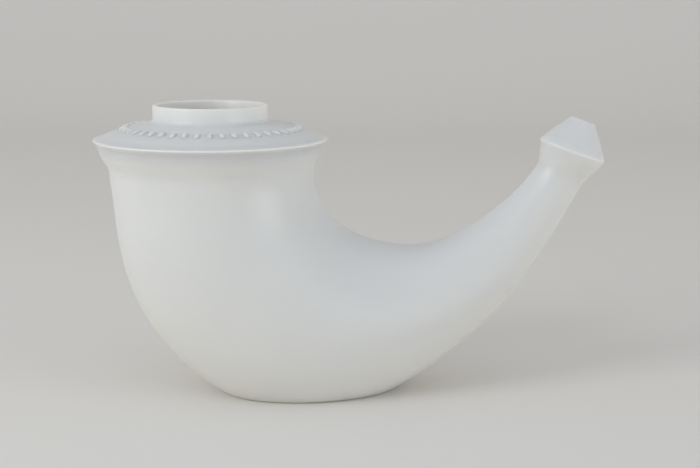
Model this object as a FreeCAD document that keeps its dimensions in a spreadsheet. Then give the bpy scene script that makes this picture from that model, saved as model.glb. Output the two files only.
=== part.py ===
import FreeCAD, Part
import Sketcher
import enum
import math
import os

from FreeCAD import Placement, Rotation, Vector

# A neti pot: one bottle, blow-moulded in soft translucent plastic in the shape of a horn.
# Frame: origin in the middle of the flat base, +X towards the spout, +Z up, millimetres.

doc = FreeCAD.newDocument("NetiPot")
sizes = doc.addObject("Spreadsheet::Sheet", "Sizes")

driving_sizes = (
    # the skin, and the flat base with its rounded edge
    ("wall", 1.5),
    ("base_round", 3.0),
    # the horn's centreline starts straight down under the flange and turns through four bends
    ("cup_axis_offset", 33.9),
    ("cup_bend_radius", 52.0),
    ("cup_bend_turn", 88.2),
    ("heel_bend_radius", 68.9),
    ("heel_bend_turn", 36.5),
    ("spout_bend_radius", 125.7),
    ("spout_bend_turn", 26.9),
    ("neck_bend_radius", 45.7),
    ("neck_bend_turn", 9.3),
    # how far the rounded belly would reach below the base, had it not been made flat there
    ("base_depth", 6.7),
    # the horn's round sections, from the brim under the flange to the ring of the nosepiece
    ("brim_radius", 37.7),
    ("cup_radius", 38.2),
    ("waist_radius", 39.3),
    ("belly_radius", 39.4),
    ("seat_radius", 37.8),
    ("heel_radius", 33.3),
    ("root_radius", 25.1),
    ("spout_radius", 18.0),
    ("stem_radius", 11.9),
    ("throat_radius", 9.4),
    ("neck_radius", 10.4),
    ("ring_radius", 12.9),
    # how far the sections of the belly stand out from the centreline, to the outside of its bend
    ("cup_shift", 0.4),
    ("waist_shift", 2.0),
    ("belly_shift", 3.0),
    ("seat_shift", 3.4),
    ("heel_shift", 1.9),
    # the flared flange with its rounded edge, the crowned shoulder and the filling collar
    ("flange_overhang", 5.9),
    ("flange_height", 13.3),
    ("flange_round", 1.5),
    ("shoulder_rise", 9.1),
    ("shoulder_crown_radius", 80.0),
    ("collar_foot_round", 2.0),
    ("collar_radius", 21.4),
    ("collar_height", 4.5),
    # the ring and the cone that seals against the nostril, with the outlet in its cut end
    ("ring_round", 0.9),
    ("cone_length", 11.0),
    ("tip_radius", 4.5),
    # the softened edges of both mouths
    ("lip_round", 0.5),
)
for row, (name, value) in enumerate(driving_sizes, start=1):
    sizes.set("A%d" % row, name)
    sizes.set("B%d" % row, str(value))
    sizes.setAlias("B%d" % row, name)
doc.recompute()


class At(enum.IntEnum):
    """The marked points of a sketched line or arc."""
    START = 1
    END = 2
    CENTRE = 3


UP = Vector(0, 0, 1)
ORIGIN = (-1, At.START)
SAME_PLANE = 0.001
BENDS = ("cup", "heel", "spout", "neck")
SECTIONS = (
    ("brim", "cup", 0.0),
    ("cup", "cup", 0.2),
    ("waist", "cup", 0.4),
    ("belly", "cup", 0.6),
    ("seat", "cup", 0.8),
    ("heel", "cup", 1.0),
    ("root", "heel", 0.5),
    ("spout", "heel", 1.0),
    ("stem", "spout", 0.5),
    ("throat", "spout", 1.0),
    ("neck", "neck", 0.5),
    ("ring", "neck", 1.0),
)
SHIFTED = ("cup", "waist", "belly", "seat", "heel")


def size(name):
    return float(sizes.get(name))


def origin_plane(body, role):
    return next(item for item in body.Origin.OriginFeatures if item.Role == role)


def add_sketch(body, role, name):
    sketch = body.newObject("Sketcher::SketchObject", name)
    sketch.AttachmentSupport = [(origin_plane(body, role), "")]
    sketch.MapMode = "FlatFace"
    return sketch


def tie(sketch, kind, *where, value, to):
    index = sketch.addConstraint(Sketcher.Constraint(kind, *where, value))
    sketch.setExpression("Constraints[%d]" % index, to)


def measure(sketch, name, kind, *where):
    """A named length that the sketch only reads off, for other pieces to follow."""
    index = sketch.addConstraint(Sketcher.Constraint(kind, *where, 0.0))
    sketch.setDriving(index, False)
    sketch.renameConstraint(index, name)


def add_centreline(body):
    """Tangent arcs in the pot's plane of symmetry, from the brim down and round to the ring."""
    sketch = add_sketch(body, "XZ_Plane", "centreline")
    seat_depth = size("heel_radius") + size("heel_shift") - size("base_depth")
    cup_turn = math.radians(size("cup_bend_turn"))
    brim_height = seat_depth + size("cup_bend_radius") * math.sin(cup_turn)
    centre = Vector(-size("cup_axis_offset"), brim_height, 0)
    heading = math.pi
    radius = 0.0
    for arc, bend in enumerate(BENDS):
        outward = Vector(math.cos(heading), math.sin(heading), 0)
        centre -= (size(bend + "_bend_radius") - radius) * outward
        radius = size(bend + "_bend_radius")
        turn = math.radians(size(bend + "_bend_turn"))
        circle = Part.Circle(centre, UP, radius)
        sketch.addGeometry(Part.ArcOfCircle(circle, heading, heading + turn), False)
        heading += turn
        if arc > 0:
            sketch.addConstraint(Sketcher.Constraint("Tangent", arc - 1, At.END, arc, At.START))
        tie(sketch, "Radius", arc, value=radius, to="Sizes.%s_bend_radius" % bend)
        tie(sketch, "Angle", arc, value=turn, to="Sizes.%s_bend_turn * 1 deg" % bend)
    sketch.addConstraint(Sketcher.Constraint("Horizontal", 0, At.START, 0, At.CENTRE))
    tie(sketch, "DistanceX", 0, At.START, *ORIGIN, value=size("cup_axis_offset"),
        to="Sizes.cup_axis_offset")
    tie(sketch, "DistanceY", *ORIGIN, 0, At.END, value=seat_depth,
        to="Sizes.heel_radius + Sizes.heel_shift - Sizes.base_depth")
    measure(sketch, "brim_height", "DistanceY", *ORIGIN, 0, At.START)
    doc.recompute()
    return sketch


def add_horn(body, centreline, inset):
    """Round sections on the centreline, square to it and lofted into one smooth horn."""
    seam_on_saddle = Placement(Vector(), Rotation(UP, 180))
    sections = []
    for name, bend, along in SECTIONS:
        section = body.newObject("Sketcher::SketchObject", name + "_section")
        section.AttachmentSupport = [(centreline, "Edge%d" % (BENDS.index(bend) + 1))]
        section.MapMode = "FrenetNB"
        section.MapPathParameter = along
        section.AttachmentOffset = seam_on_saddle
        shift = size(name + "_shift") if name in SHIFTED else 0.0
        section.addGeometry(Part.Circle(Vector(-shift, 0, 0), UP, size(name + "_radius")), False)
        on_axis = (0, At.CENTRE, *ORIGIN)
        if name in SHIFTED:
            section.addConstraint(Sketcher.Constraint("Horizontal", *on_axis))
            tie(section, "DistanceX", *on_axis, value=shift, to="Sizes.%s_shift" % name)
        else:
            section.addConstraint(Sketcher.Constraint("Coincident", *on_axis))
        tie(section, "Radius", 0, value=size(name + "_radius"),
            to="Sizes.%s_radius%s" % (name, inset))
        sections.append(section)
    doc.recompute()
    horn = body.newObject("PartDesign::AdditiveLoft", "horn")
    horn.Profile = sections[0]
    horn.Sections = sections[1:]
    doc.recompute()
    return sections[-1]


def cut_base(body, inset):
    """Everything below the base goes, or below its upper face where the hollow is inset."""
    plane = add_sketch(body, "XY_Plane", "base_plane")
    if inset:
        plane.setExpression("AttachmentOffset.Base.z", "Sizes.wall")
    reach = size("cup_axis_offset") + 2 * size("belly_radius")
    plane.addGeometry(Part.Circle(Vector(0, 0, 0), UP, reach), False)
    plane.addConstraint(Sketcher.Constraint("Coincident", 0, At.CENTRE, *ORIGIN))
    tie(plane, "Radius", 0, value=reach, to="Sizes.cup_axis_offset + 2 * Sizes.belly_radius")
    cut = body.newObject("PartDesign::Pocket", "flat_base")
    cut.Profile = plane
    cut.Type = "ThroughAll"
    doc.recompute()


def add_nose_cone(body, ring_section, inset):
    cone = body.newObject("PartDesign::AdditiveCone", "nose_cone")
    cone.AttachmentSupport = [(ring_section, "")]
    cone.MapMode = "ObjectXY"
    cone.MapReversed = True
    cone.setExpression("Radius1", "Sizes.ring_radius" + inset)
    cone.setExpression("Radius2", "Sizes.tip_radius" + inset)
    cone.setExpression("Height", "Sizes.cone_length")
    doc.recompute()


def where_circles_meet(first, first_radius, second, second_radius):
    """The point on both circles that lies to the right of the way from the first centre."""
    way = second - first
    along = (first_radius ** 2 - second_radius ** 2 + way.Length ** 2) / (2 * way.Length)
    aside = math.sqrt(first_radius ** 2 - along ** 2)
    way.normalize()
    return first + along * way + aside * Vector(way.y, -way.x, 0)


def towards(centre, other, distance):
    """The point that lies that far from the centre on the way to another point."""
    return centre + distance * (other - centre).normalize()


def arc_between(centre, first, last):
    """An arc about the centre, anticlockwise from the first point to the last."""
    spokes = [point - centre for point in (first, last)]
    start, end = (math.atan2(spoke.y, spoke.x) for spoke in spokes)
    circle = Part.Circle(centre, UP, spokes[0].Length)
    return Part.ArcOfCircle(circle, start, end if end > start else end + 2 * math.pi)


def shoulder_arcs(depth):
    """Centres and radii of the arcs in the shoulder's outline, set in by the depth."""
    brim, collar = size("brim_radius"), size("collar_radius")
    edge_radius, foot_radius = size("flange_round"), size("collar_foot_round")
    crown_radius = size("shoulder_crown_radius")
    beyond = size("flange_overhang") - edge_radius
    edge = Vector(brim + beyond, size("flange_height"), 0)
    foot = Vector(collar + foot_radius, edge.y + size("shoulder_rise"), 0)
    flare_radius = (beyond ** 2 + edge.y ** 2 - edge_radius ** 2) / (2 * (beyond + edge_radius))
    flare = Vector(brim + flare_radius, 0, 0)
    crown = where_circles_meet(foot, crown_radius + foot_radius, edge, crown_radius - edge_radius)
    arcs = (flare, flare_radius + depth), edge, (crown, crown_radius - depth)
    return *arcs, (foot, foot_radius + depth)


def draw_shoulder(sketch, depth, construction=False):
    """A closed outline from the brim round to the cup's axis. Returns the numbers of its pieces."""
    (flare, flare_radius), edge, (crown, crown_radius), (foot, foot_radius) = shoulder_arcs(depth)
    axis_foot = Vector(0, 0, 0)
    brim_end = Vector(size("brim_radius") - depth, 0, 0)
    crown_end = towards(crown, foot, crown_radius)
    collar_foot = Vector(foot.x - foot_radius, foot.y, 0)
    lip_end = Vector(collar_foot.x, foot.y + size("collar_height"), 0)
    top = Vector(0, lip_end.y, 0)
    pieces = {"brim": Part.LineSegment(axis_foot, brim_end)}
    if depth:
        flare_end = crown_start = where_circles_meet(crown, crown_radius, flare, flare_radius)
    else:
        flare_end = towards(flare, edge, flare_radius)
        crown_start = towards(edge, crown, -size("flange_round"))
        pieces["edge"] = arc_between(edge, flare_end, crown_start)
    pieces["flare"] = arc_between(flare, flare_end, brim_end)
    pieces["crown"] = arc_between(crown, crown_start, crown_end)
    pieces["foot"] = arc_between(foot, collar_foot, crown_end)
    pieces["collar"] = Part.LineSegment(collar_foot, lip_end)
    pieces["lip"] = Part.LineSegment(lip_end, top)
    pieces["axis"] = Part.LineSegment(top, axis_foot)
    number = {name: sketch.addGeometry(piece, construction) for name, piece in pieces.items()}
    corners = [("brim", At.END, "flare", At.END), ("collar", At.END, "lip", At.START)]
    corners += [("lip", At.END, "axis", At.START), ("axis", At.END, "brim", At.START)]
    smooth = [("crown", At.END, "foot", At.END), ("foot", At.START, "collar", At.START)]
    if depth:
        corners += [("flare", At.START, "crown", At.START)]
    else:
        smooth += [("flare", At.START, "edge", At.START), ("edge", At.END, "crown", At.START)]
    for kind, joins in (("Coincident", corners), ("Tangent", smooth)):
        for one, its_end, other, other_end in joins:
            join = (number[one], its_end, number[other], other_end)
            sketch.addConstraint(Sketcher.Constraint(kind, *join))
    for kind, names in (("Horizontal", ("brim", "lip")), ("Vertical", ("collar", "axis"))):
        for name in names:
            sketch.addConstraint(Sketcher.Constraint(kind, number[name]))
    sketch.addConstraint(Sketcher.Constraint("Coincident", number["brim"], At.START, *ORIGIN))
    return number


def add_shoulder(body, centreline, inset):
    """The flared flange, the crowned shoulder and the collar, turned about the cup's axis."""
    sketch = add_sketch(body, "XZ_Plane", "shoulder_outline")
    sketch.setExpression("AttachmentOffset.Base.x", "-Sizes.cup_axis_offset")
    sketch.setExpression("AttachmentOffset.Base.y", "%s.Constraints.brim_height" % centreline.Name)
    outer = draw_shoulder(sketch, 0.0, construction=bool(inset))
    _, edge, (_, crown_radius), (foot, foot_radius) = shoulder_arcs(0.0)
    flare_level = (outer["flare"], At.END, outer["flare"], At.CENTRE)
    sketch.addConstraint(Sketcher.Constraint("Horizontal", *flare_level))
    brim_end, lip_end = (outer["brim"], At.END), (outer["collar"], At.END)
    edge_centre, foot_centre = (outer["edge"], At.CENTRE), (outer["foot"], At.CENTRE)
    tie(sketch, "DistanceX", *ORIGIN, *brim_end, value=size("brim_radius"), to="Sizes.brim_radius")
    tie(sketch, "DistanceX", *ORIGIN, *edge_centre, value=edge.x,
        to="Sizes.brim_radius + Sizes.flange_overhang - Sizes.flange_round")
    tie(sketch, "DistanceY", *ORIGIN, *edge_centre, value=edge.y, to="Sizes.flange_height")
    tie(sketch, "Radius", outer["edge"], value=size("flange_round"), to="Sizes.flange_round")
    tie(sketch, "Radius", outer["crown"], value=crown_radius, to="Sizes.shoulder_crown_radius")
    tie(sketch, "Radius", outer["foot"], value=foot_radius, to="Sizes.collar_foot_round")
    tie(sketch, "DistanceY", *edge_centre, *foot_centre, value=foot.y - edge.y,
        to="Sizes.shoulder_rise")
    tie(sketch, "DistanceX", *ORIGIN, *lip_end, value=size("collar_radius"),
        to="Sizes.collar_radius")
    tie(sketch, "DistanceY", *foot_centre, *lip_end, value=size("collar_height"),
        to="Sizes.collar_height")
    if inset:
        inner = draw_shoulder(sketch, size("wall"))
        for name in ("flare", "crown", "foot"):
            centres = (inner[name], At.CENTRE, outer[name], At.CENTRE)
            sketch.addConstraint(Sketcher.Constraint("Coincident", *centres))
        level = (inner["lip"], At.START, outer["lip"], At.START)
        sketch.addConstraint(Sketcher.Constraint("Horizontal", *level))
        brim_radius, crown_radius = size("brim_radius") - size("wall"), crown_radius - size("wall")
        tie(sketch, "DistanceX", *ORIGIN, inner["brim"], At.END, value=brim_radius,
            to="Sizes.brim_radius" + inset)
        tie(sketch, "Radius", inner["crown"], value=crown_radius,
            to="Sizes.shoulder_crown_radius" + inset)
    doc.recompute()
    turned = body.newObject("PartDesign::Revolution", "shoulder")
    turned.Profile = sketch
    turned.ReferenceAxis = (sketch, ["V_Axis"])
    doc.recompute()
    return sketch.Placement.multVec(Vector(0, foot.y + size("collar_height"), 0))


def edges_in_plane(shape, point, normal):
    """Names of the edges that lie in the plane through the point."""
    names = []
    for number, edge in enumerate(shape.Edges, start=1):
        marks = [vertex.Point for vertex in edge.Vertexes] + [edge.CenterOfMass]
        if all(abs((mark - point).dot(normal)) < SAME_PLANE for mark in marks):
            names.append("Edge%d" % number)
    return names


def add_round(body, name, radius, point, normal=UP):
    """Rounds every edge of the body that lies in the plane through the point."""
    sharp = body.Tip
    rounded = body.newObject("PartDesign::Fillet", name)
    rounded.Base = (sharp, edges_in_plane(sharp.Shape, point, normal))
    rounded.setExpression("Radius", radius)
    doc.recompute()


def add_form(name, inset):
    """The whole form of the pot as one solid, or of its hollow where it is inset by the wall."""
    body = doc.addObject("PartDesign::Body", name)
    centreline = add_centreline(body)
    ring_section = add_horn(body, centreline, inset)
    ring_centre = ring_section.Placement.Base
    nose_axis = ring_section.Placement.Rotation.multVec(UP)
    cut_base(body, inset)
    if inset:
        add_round(body, "base_edge", "max(Sizes.base_round%s, Sizes.lip_round)" % inset, size("wall") * UP)
    else:
        add_round(body, "base_edge", "Sizes.base_round", Vector())
    add_nose_cone(body, ring_section, inset)
    lip = add_shoulder(body, centreline, inset)
    if not inset:
        add_round(body, "ring_edge", "Sizes.ring_round", ring_centre, nose_axis)
    return body, lip, ring_centre - size("cone_length") * nose_axis, nose_axis


# The hollow is cut out of the pot, and both mouths get softened rims.
pot, lip, tip, nose_axis = add_form("neti_pot", "")
pot.Label = "neti_pot"
hollow = add_form("hollow", " - Sizes.wall")[0]
blown = pot.newObject("PartDesign::Boolean", "blown")
blown.setObjects([hollow])
blown.Type = "Cut"
doc.recompute()
add_round(pot, "collar_lip", "Sizes.lip_round", lip)
add_round(pot, "outlet_lip", "Sizes.lip_round", tip, nose_axis)

for item in doc.Objects:
    if "Invalid" in item.State or "Error" in item.State:
        raise RuntimeError("%s failed: %s" % (item.Label, item.State))
if pot.Shape.isNull() or not pot.Shape.isValid() or len(pot.Shape.Solids) != 1:
    raise RuntimeError("neti_pot has no valid single solid")

os.makedirs("parts", exist_ok=True)
pot.Shape.exportStep("parts/neti_pot.step")
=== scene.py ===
# The neti pot's looks: a blow-moulded squeezable pot in milky plastic, on a pale table.
# The section of each piece holds its sizes, colours, mesh and material.
import math

import bpy
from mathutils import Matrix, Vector
from mathutils.bvhtree import BVHTree


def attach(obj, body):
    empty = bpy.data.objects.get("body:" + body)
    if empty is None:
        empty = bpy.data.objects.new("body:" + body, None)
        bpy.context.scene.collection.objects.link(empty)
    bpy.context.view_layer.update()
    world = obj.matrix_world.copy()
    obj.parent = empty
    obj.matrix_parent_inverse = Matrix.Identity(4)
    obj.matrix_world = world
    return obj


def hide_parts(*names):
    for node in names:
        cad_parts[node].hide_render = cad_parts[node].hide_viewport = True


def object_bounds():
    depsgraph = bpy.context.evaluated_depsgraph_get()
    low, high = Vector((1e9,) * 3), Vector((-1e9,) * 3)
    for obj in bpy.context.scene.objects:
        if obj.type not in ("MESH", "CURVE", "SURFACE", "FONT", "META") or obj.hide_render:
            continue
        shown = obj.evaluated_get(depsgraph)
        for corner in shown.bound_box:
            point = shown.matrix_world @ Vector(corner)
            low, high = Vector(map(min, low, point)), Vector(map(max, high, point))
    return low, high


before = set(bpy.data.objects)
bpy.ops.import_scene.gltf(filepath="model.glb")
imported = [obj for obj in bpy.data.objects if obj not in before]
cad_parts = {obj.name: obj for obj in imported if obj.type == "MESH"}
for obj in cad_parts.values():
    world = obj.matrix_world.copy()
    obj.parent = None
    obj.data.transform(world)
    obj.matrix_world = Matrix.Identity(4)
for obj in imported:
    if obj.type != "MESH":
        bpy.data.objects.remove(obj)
cad_low, cad_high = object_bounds()


# The pot itself: one skin of milky, slightly see-through soft plastic, blown in a mould.
# It comes out satin and a little uneven in gloss. Its form is the solid's own, with the flange
# drawn out to a sharper edge and the neck a little fuller under the nosepiece.
class Value:
    """A shader socket that adds nodes when it is used in sums."""

    def __init__(self, tree, socket):
        self.tree = tree
        self.socket = socket

    def math(self, operation, first, second):
        node = self.tree.nodes.new("ShaderNodeMath")
        node.operation = operation
        for place, term in enumerate((first, second)):
            if isinstance(term, Value):
                self.tree.links.new(term.socket, node.inputs[place])
            else:
                node.inputs[place].default_value = term
        return Value(self.tree, node.outputs[0])

    def __add__(self, other):
        return self.math("ADD", self, other)

    def __radd__(self, other):
        return self.math("ADD", other, self)

    def __mul__(self, other):
        return self.math("MULTIPLY", self, other)

    def __rmul__(self, other):
        return self.math("MULTIPLY", other, self)


class Shader:
    """The node tree of one material."""

    def __init__(self, name):
        self.material = bpy.data.materials.new(name)
        self.material.use_nodes = True
        self.tree = self.material.node_tree
        self.tree.nodes.clear()
        self.end = self.tree.nodes.new("ShaderNodeOutputMaterial")

    def node(self, kind, settings=None, output=0, **inputs):
        """Adds a node: its settings first, then the values or links of its sockets.

        A socket goes by its name, with _ for a space, or by its number, as in _6.
        """
        made = self.tree.nodes.new(kind)
        for name, value in (settings or {}).items():
            setattr(made, name, value)
        for name, value in inputs.items():
            socket = made.inputs[int(name[1:]) if name[0] == "_" else name.replace("_", " ")]
            if isinstance(value, Value):
                self.tree.links.new(value.socket, socket)
            else:
                socket.default_value = value
        return Value(self.tree, made.outputs[output])

    def coat(self, surface):
        """Lays the surface on whatever wears the material."""
        self.tree.links.new(surface.socket, self.end.inputs["Surface"])


plastic = Shader("milky_plastic")
place = plastic.node("ShaderNodeTexCoord", output="Object")
cloud = plastic.node("ShaderNodeTexNoise", Vector=place, Scale=18.0, Detail=2.0)
grain = plastic.node("ShaderNodeTexNoise", Vector=place, Scale=900.0, Detail=2.0)
milk = plastic.node(
    "ShaderNodeMix", {"data_type": "RGBA"}, 2, Factor=cloud,
    _6=(0.68, 0.682, 0.665, 1.0), _7=(0.72, 0.722, 0.705, 1.0))
gloss = 0.34 + cloud * 0.08
satin = plastic.node("ShaderNodeBump", Strength=0.04, Distance=0.0004, Height=grain)
plastic.coat(plastic.node(
    "ShaderNodeBsdfPrincipled", Base_Color=milk, Roughness=gloss, Normal=satin, IOR=1.5,
    Subsurface_Weight=0.8, Subsurface_Radius=(1.0, 0.92, 0.75), Subsurface_Scale=0.005))


def ease(part):
    """Goes smoothly from 0 to 1 while the part does, and stays there."""
    part = max(0.0, min(1.0, part))
    return part * part * (3.0 - 2.0 * part)


def swell(distance, reach):
    """1 in the middle, falling smoothly to 0 at the end of the reach."""
    return (1.0 - min(1.0, (distance / reach) ** 2)) ** 2


flange_radius = cad_high[1]
cup_axis = cad_low[0] + flange_radius
cup_end = 0.030
edge_height = 0.0951
edge_depth = 0.0046
edge_thinning = 0.62
flare_foot = 0.082
flare_rise = 0.008
flange_shrinking = 0.0095
flange_offset = 0.0004
filled_flare_height = 0.0905
filled_flare_reach = 0.0065
flare_filling = 0.0013
cup_wall_radius = 0.030


def draw_out_flange(point):
    """Thins the flange to a sharp edge, fills the flare below it and sets both a little left."""
    from_axis = Vector((point.x - cup_axis, point.y, 0.0))
    radius = from_axis.length
    lean = ease((point.z - flare_foot) / flare_rise)
    edge = ease(1.0 - (flange_radius - radius) / edge_depth)
    filling = flare_filling * swell(point.z - filled_flare_height, filled_flare_reach)
    filling *= (1.0 - edge) * ease(radius / cup_wall_radius)
    point.z += edge_thinning * lean * edge * (edge_height - point.z)
    point += from_axis.normalized() * filling - from_axis * (flange_shrinking * lean)
    point.x -= flange_offset * lean


neck_start = 0.070
nose_up = Vector((0.3272, 0.0, 0.9449))
ring_middle = Vector((0.09985, 0.0, 0.09106))
filled_neck_depth = 0.0045
filled_neck_reach = 0.0053
neck_filling = 0.0010
ring_rounding = 0.0002
rounded_reach = 0.0014
ring_drop = 0.0006
dropped_reach = 0.0060


def fill_neck(point):
    """Fills the neck under the nosepiece, and sets its ring a little lower and rounder."""
    offset = point - ring_middle
    along = offset.dot(nose_up)
    outward = (offset - along * nose_up).normalized()
    point += outward * (neck_filling * swell(along + filled_neck_depth, filled_neck_reach))
    point -= outward * (ring_rounding * swell(along, rounded_reach))
    point -= nose_up * (ring_drop * swell(along, dropped_reach))


def weld(mesh):
    """Returns the mesh's points, each place once, and its faces on them."""
    points = []
    faces = []
    numbers = []
    number_at = {}
    for vertex in mesh.vertices:
        where = tuple(round(part, 7) for part in vertex.co)
        if where not in number_at:
            number_at[where] = len(points)
            points.append(vertex.co.copy())
        numbers.append(number_at[where])
    for face in mesh.polygons:
        corners = [numbers[corner] for corner in face.vertices]
        if len(set(corners)) == len(corners):
            faces.append(corners)
    return points, faces


def add_piece(name, points, faces, material):
    """Makes a smooth piece of the points and faces."""
    mesh = bpy.data.meshes.new(name)
    mesh.from_pydata(points, [], faces)
    mesh.polygons.foreach_set("use_smooth", [True] * len(faces))
    mesh.materials.append(material)
    piece = bpy.data.objects.new(name, mesh)
    bpy.context.scene.collection.objects.link(piece)
    return piece


skin_points, skin_faces = weld(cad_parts["neti_pot"].data)
for point in skin_points:
    if point.x < cup_end:
        draw_out_flange(point)
    elif point.x > neck_start:
        fill_neck(point)
blown_skin = add_piece("blown_skin", skin_points, skin_faces, plastic.material)
blown_skin.data.set_sharp_from_angle(angle=math.radians(40.0))
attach(blown_skin, "root")
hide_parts("neti_pot")


# The ring of small raised bars on the crowned shoulder, between the collar and the flange.
# They are blown in the same skin, so their edges are soft, and they give the fingers a grip
# when the pot is squeezed.
bar_count = 46
ring_radius = 0.0322
bar_length = 0.0042
bar_width = 0.0023
bar_rise = 0.0008
bar_root = 0.0002
corner_power = 4
dome_power = 3
steps_along = 8
steps_across = 6
above_pot = Vector((cup_axis, 0.0, 2.0 * cad_high[2]))
down = Vector((0.0, 0.0, -1.0))
shoulder = BVHTree.FromPolygons(skin_points, skin_faces)
bar_points = []
bar_faces = []
for bar in range(bar_count):
    angle = 2.0 * math.pi * bar / bar_count
    outward = Vector((math.cos(angle), math.sin(angle), 0.0))
    sideways = Vector((-math.sin(angle), math.cos(angle), 0.0))
    first = len(bar_points)
    for along in range(steps_along + 1):
        for across in range(steps_across + 1):
            u = 2.0 * along / steps_along - 1.0
            v = 2.0 * across / steps_across - 1.0
            reach = max(abs(u), abs(v))
            spread = 0.0
            if reach:
                spread = reach / (u ** corner_power + v ** corner_power) ** (1.0 / corner_power)
            away = ring_radius + u * spread * bar_length / 2
            aside = v * spread * bar_width / 2
            ground, up, _, _ = shoulder.ray_cast(
                above_pot + outward * away + sideways * aside, down)
            rise = (bar_rise + bar_root) * (1.0 - reach ** dome_power) - bar_root
            bar_points.append(ground + up * rise)
    for along in range(steps_along):
        for across in range(steps_across):
            corner = first + along * (steps_across + 1) + across
            bar_faces.append((
                corner, corner + steps_across + 1, corner + steps_across + 2, corner + 1))
grip_bars = add_piece("grip_bars", bar_points, bar_faces, plastic.material)
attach(grip_bars, "root")


# The table and the pale wall behind: one sheet that curves up out of sight, so no edge shows.
# It is a matt pale grey to the eye and in reflections, and throws a warmer light back up, which
# the underside of the pot picks up.
table = Shader("pale_table")
camera_ray = table.node("ShaderNodeLightPath", output="Is Camera Ray")
glossy_ray = table.node("ShaderNodeLightPath", output="Is Glossy Ray")
through_ray = table.node("ShaderNodeLightPath", output="Is Transmission Ray")
sheet_colour = table.node(
    "ShaderNodeMix", {"data_type": "RGBA"}, 2, Factor=camera_ray + glossy_ray + through_ray,
    _6=(0.93, 0.855, 0.73, 1.0), _7=(0.76, 0.74, 0.71, 1.0))
table.coat(table.node("ShaderNodeBsdfPrincipled", Base_Color=sheet_colour, Roughness=0.5))
sheet_half = 2.5
sheet_front = -1.5
bend_start = 0.9
bend_radius = 0.5
bend_steps = 16
wall_top = 2.2
profile = [(sheet_front, 0.0), (bend_start, 0.0)]
for step in range(1, bend_steps + 1):
    angle = math.radians(90.0 * step / bend_steps)
    profile.append((
        bend_start + bend_radius * math.sin(angle),
        bend_radius * (1.0 - math.cos(angle))))
profile.append((bend_start + bend_radius, wall_top))
sheet_points = []
sheet_faces = []
for across in (-sheet_half, sheet_half):
    for along, height in profile:
        sheet_points.append((across, along, height))
for step in range(len(profile) - 1):
    sheet_faces.append((step, step + len(profile), step + len(profile) + 1, step + 1))
add_piece("backdrop", sheet_points, sheet_faces, table.material)


# The light: a broad window high on the left, a weaker one low on the right, and an even pale
# room. Both windows are soft and a little blue, as daylight through a curtain is.
window_side = 0.5
daylight = (0.94, 0.98, 1.0)
lit_place = Vector((0.0, 0.0, 0.05))


def add_window(name, position, power):
    """Hangs a square soft lamp that points at the pot."""
    lamp = bpy.data.lights.new(name, "AREA")
    lamp.shape = "SQUARE"
    lamp.size = window_side
    lamp.energy = power
    lamp.color = daylight
    hung = bpy.data.objects.new(name, lamp)
    hung.location = position
    hung.rotation_mode = "QUATERNION"
    hung.rotation_quaternion = (lit_place - Vector(position)).to_track_quat("-Z", "Y")
    bpy.context.scene.collection.objects.link(hung)


add_window("left_window", (-0.83, -0.57, 0.48), 4.7)
add_window("right_window", (0.86, -0.48, 0.12), 3.0)

room = bpy.data.worlds.new("room")
room.use_nodes = True
room_light = room.node_tree.nodes["Background"]
room_light.inputs["Color"].default_value = (0.92, 0.95, 1.0, 1.0)
room_light.inputs["Strength"].default_value = 0.63
bpy.context.scene.world = room


# The camera stands in front of the pot's long side, a little above it, and looks slightly down.
# Its place and lens come from the photograph's perspective.
eye = (0.0173, -0.550, 0.153)
looking_down = math.radians(9.72)
lens = bpy.data.cameras.new("camera")
lens.sensor_width = 36.0
lens.lens = 76.63
camera = bpy.data.objects.new("camera", lens)
camera.location = eye
camera.rotation_euler = (math.radians(90.0) - looking_down, 0.0, 0.0)
bpy.context.scene.collection.objects.link(camera)
bpy.context.scene.camera = camera
bpy.context.scene.view_settings.view_transform = "Standard"
